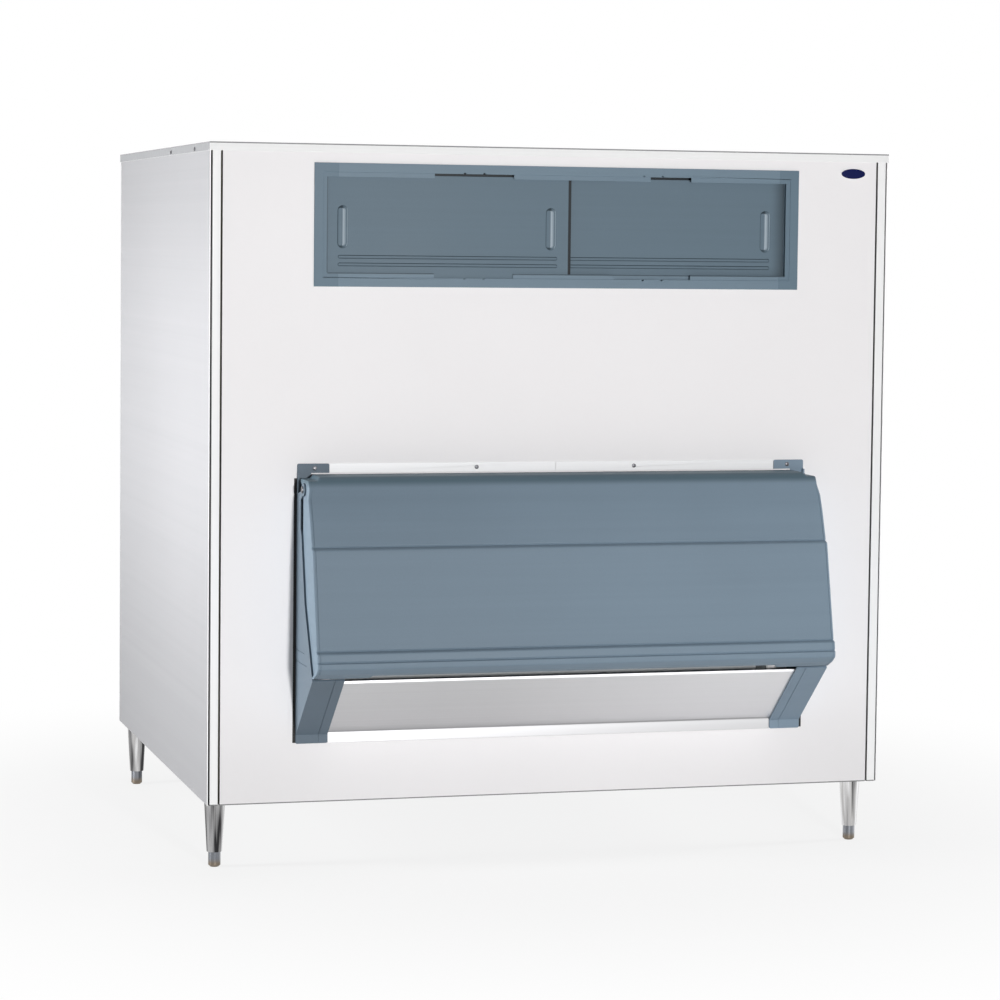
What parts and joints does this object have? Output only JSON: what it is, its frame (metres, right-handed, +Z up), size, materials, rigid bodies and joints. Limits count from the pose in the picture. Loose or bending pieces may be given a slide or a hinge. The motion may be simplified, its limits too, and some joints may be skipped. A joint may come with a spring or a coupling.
{
  "type": "ice storage bin",
  "caption": "Upright insulated ice storage bin on legs with a flip-up scoop hood, sliding window doors, an inner ice gate and a top drop opening.",
  "frame": {"origin": "middle of the footprint on the floor, under the levelling feet", "axes": "+Z up, X across the width with +X to the right as seen from the front, the hood and window face -Y"},
  "size_m": [1.5334, 1.4412, 1.551],
  "materials": {
    "white_coat": "satin",
    "steel_skin": "satin",
    "post_metal": "satin",
    "hood_plastic": "satin",
    "door_plastic": "satin",
    "frame_plastic": "satin",
    "liner_plastic": "satin",
    "foam_fill": "matte",
    "gate_board": "satin",
    "chute_steel": "satin",
    "leg_metal": "polished",
    "screw_steel": "polished",
    "badge_blue": "gloss",
    "drain_plastic": "satin"
  },
  "bodies": {
    "cabinet": {"badge": "badge_blue", "base_pan": "steel_skin", "corner_post_left": "post_metal", "corner_post_right": "post_metal", "cover_screw_left_1": "screw_steel", "cover_screw_left_2": "screw_steel", "cover_screw_right_1": "screw_steel", "cover_screw_right_2": "screw_steel", "drain_fitting": "drain_plastic", "drain_strainer": "drain_plastic", "drop_opening_trim": "liner_plastic", "ear_screw_left": "screw_steel", "ear_screw_right": "screw_steel", "foam_insulation": "foam_fill", "front_panel": "white_coat", "gate_track_left": "liner_plastic", "gate_track_right": "liner_plastic", "header_strip_left": "chute_steel", "header_strip_right": "chute_steel", "hinge_pin_left": "screw_steel", "hinge_pin_right": "screw_steel", "hood_bracket_left": "hood_plastic", "hood_bracket_right": "hood_plastic", "ice_chute": "chute_steel", "leg_front_left": "leg_metal", "leg_front_right": "leg_metal", "leg_rear_left": "leg_metal", "leg_rear_right": "leg_metal", "leg_socket_front_left": "leg_metal", "leg_socket_front_right": "leg_metal", "leg_socket_rear_left": "leg_metal", "leg_socket_rear_right": "leg_metal", "liner": "liner_plastic", "rear_panel": "steel_skin", "side_panel_left": "steel_skin", "side_panel_right": "steel_skin", "strip_screw_left": "screw_steel", "strip_screw_right": "screw_steel", "top_cover": "steel_skin", "window_frame": "frame_plastic"},
    "left_window_door": {"window_door_left": "door_plastic"},
    "right_window_door": {"window_door_right": "door_plastic"},
    "hood": {"hood_door": "hood_plastic"},
    "gate": {"ice_gate": "gate_board"},
    "foot_front_left": {"levelling_foot_front_left": "leg_metal"},
    "foot_front_right": {"levelling_foot_front_right": "leg_metal"},
    "foot_rear_left": {"levelling_foot_rear_left": "leg_metal"},
    "foot_rear_right": {"levelling_foot_rear_right": "leg_metal"}
  },
  "joints": [
    {"name": "hood_hinge", "type": "hinge", "parent": "cabinet", "child": "hood", "pos_m": [0, -0.5616, 0.822], "axis": [-1, 0, 0], "range_deg": [0, 158]},
    {"name": "left_window_door_slide", "type": "slide", "parent": "cabinet", "child": "left_window_door", "axis": [1, 0, 0], "range_m": [0, 0.505]},
    {"name": "right_window_door_slide", "type": "slide", "parent": "cabinet", "child": "right_window_door", "axis": [-1, 0, 0], "range_m": [0, 0.505]},
    {"name": "gate_lift", "type": "slide", "parent": "cabinet", "child": "gate", "axis": [0, 0, 1], "range_m": [0, 0.3]},
    {"name": "foot_front_left_screw", "type": "slide", "parent": "cabinet", "child": "foot_front_left", "axis": [0, 0, -1], "range_m": [0, 0.025]},
    {"name": "foot_front_right_screw", "type": "slide", "parent": "cabinet", "child": "foot_front_right", "axis": [0, 0, -1], "range_m": [0, 0.025]},
    {"name": "foot_rear_left_screw", "type": "slide", "parent": "cabinet", "child": "foot_rear_left", "axis": [0, 0, -1], "range_m": [0, 0.025]},
    {"name": "foot_rear_right_screw", "type": "slide", "parent": "cabinet", "child": "foot_rear_right", "axis": [0, 0, -1], "range_m": [0, 0.025]}
  ]
}
